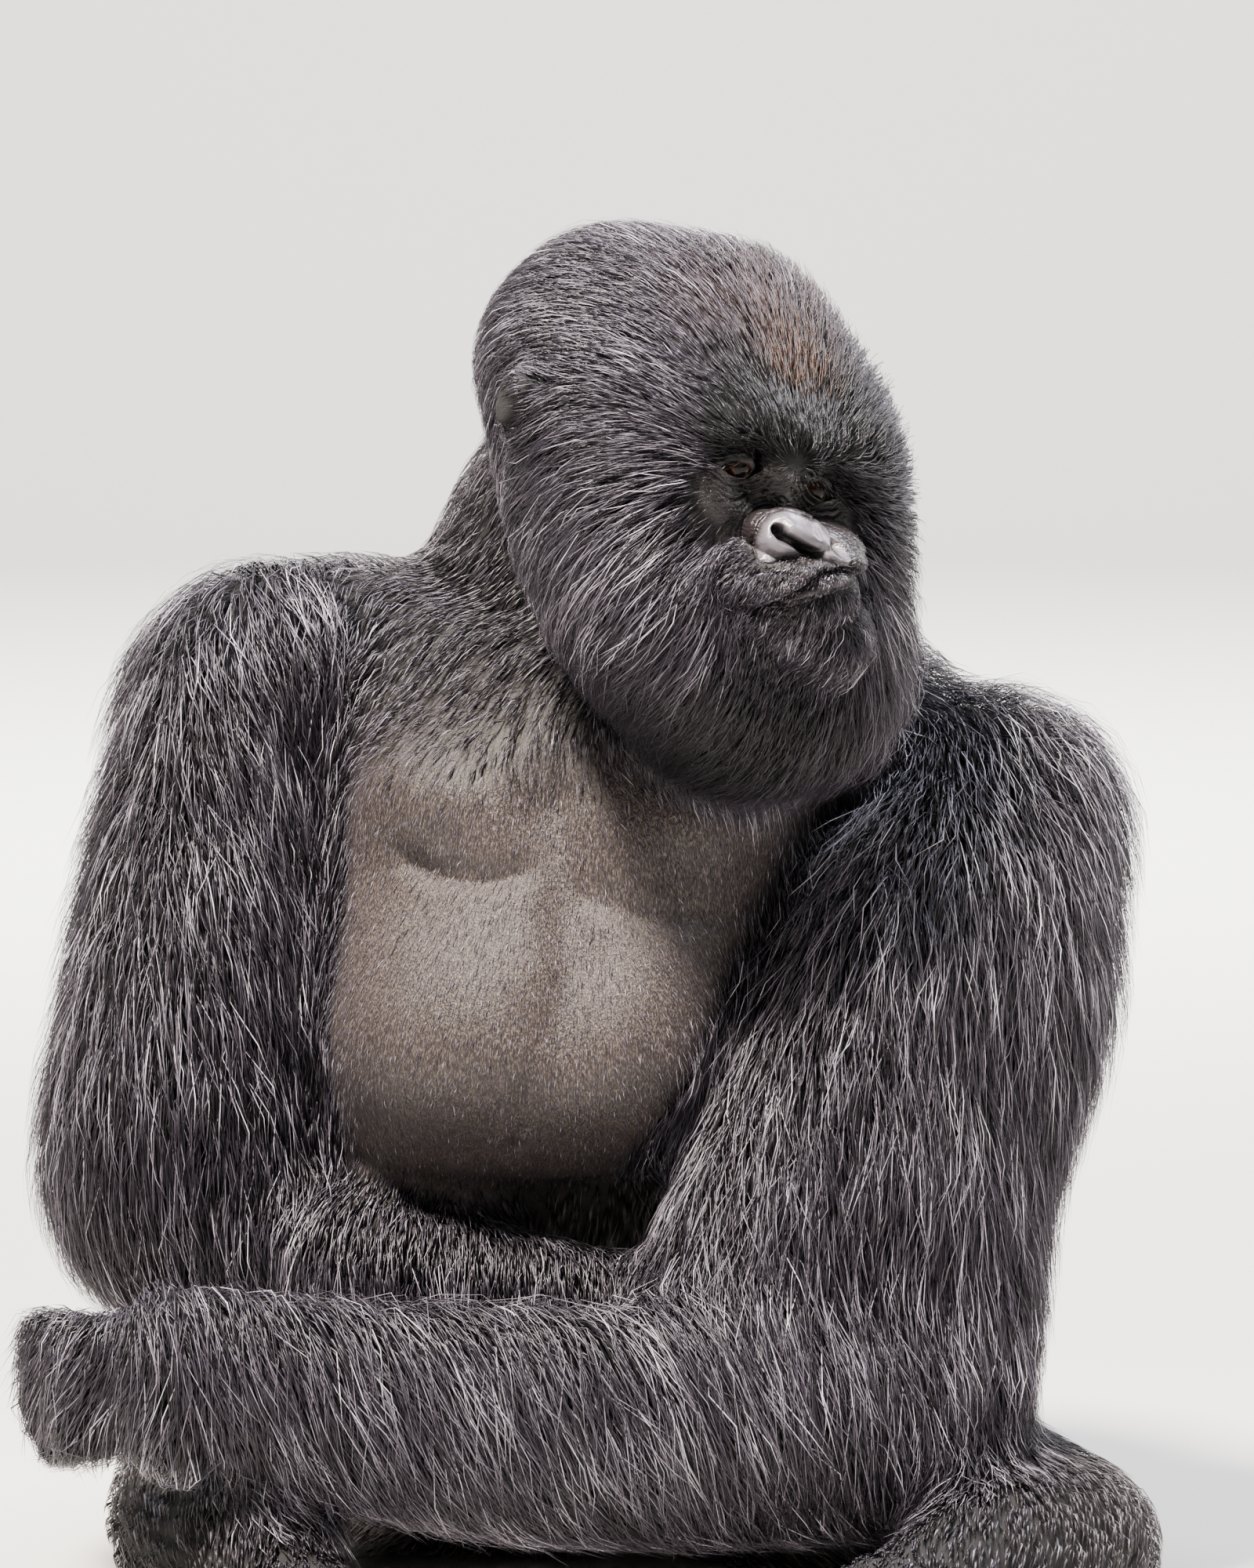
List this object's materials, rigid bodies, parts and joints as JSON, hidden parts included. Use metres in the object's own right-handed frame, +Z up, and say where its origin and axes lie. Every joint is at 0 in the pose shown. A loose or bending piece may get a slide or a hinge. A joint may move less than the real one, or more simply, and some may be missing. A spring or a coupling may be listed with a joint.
{
  "type": "gorilla",
  "caption": "Life-size seated adult male mountain gorilla, arms crossed over the lap and head turned to its left, mouth closed, long dark coat; a still model.",
  "frame": {"origin": "on the floor, under the centre of the whole animal's bounding box", "axes": "+Z up, the chest faces -Y, +X is the animal's own left; the head is turned toward +X"},
  "size_m": [0.897, 1.1086, 1.0974],
  "materials": {
    "coat": "long black hair with a grey sheen",
    "short_coat": "short brown-grey hair over skin",
    "bare_skin": "black wrinkled skin",
    "eye": "wet dark brown",
    "nail": "dark horn"
  },
  "bodies": {
    "root": {"head": "coat", "neck": "coat", "trunk": "short_coat", "rump": "coat", "eye_r": "eye", "eye_l": "eye", "ear_r": "bare_skin", "ear_l": "bare_skin", "upper_arm_r": "coat", "upper_arm_l": "coat", "forearm_r": "coat", "forearm_l": "coat", "hand_r": "bare_skin", "hand_l": "bare_skin", "thigh_r": "coat", "thigh_l": "coat", "shin_r": "coat", "shin_l": "coat", "foot_r": "bare_skin", "foot_l": "bare_skin"}
  },
  "joints": []
}
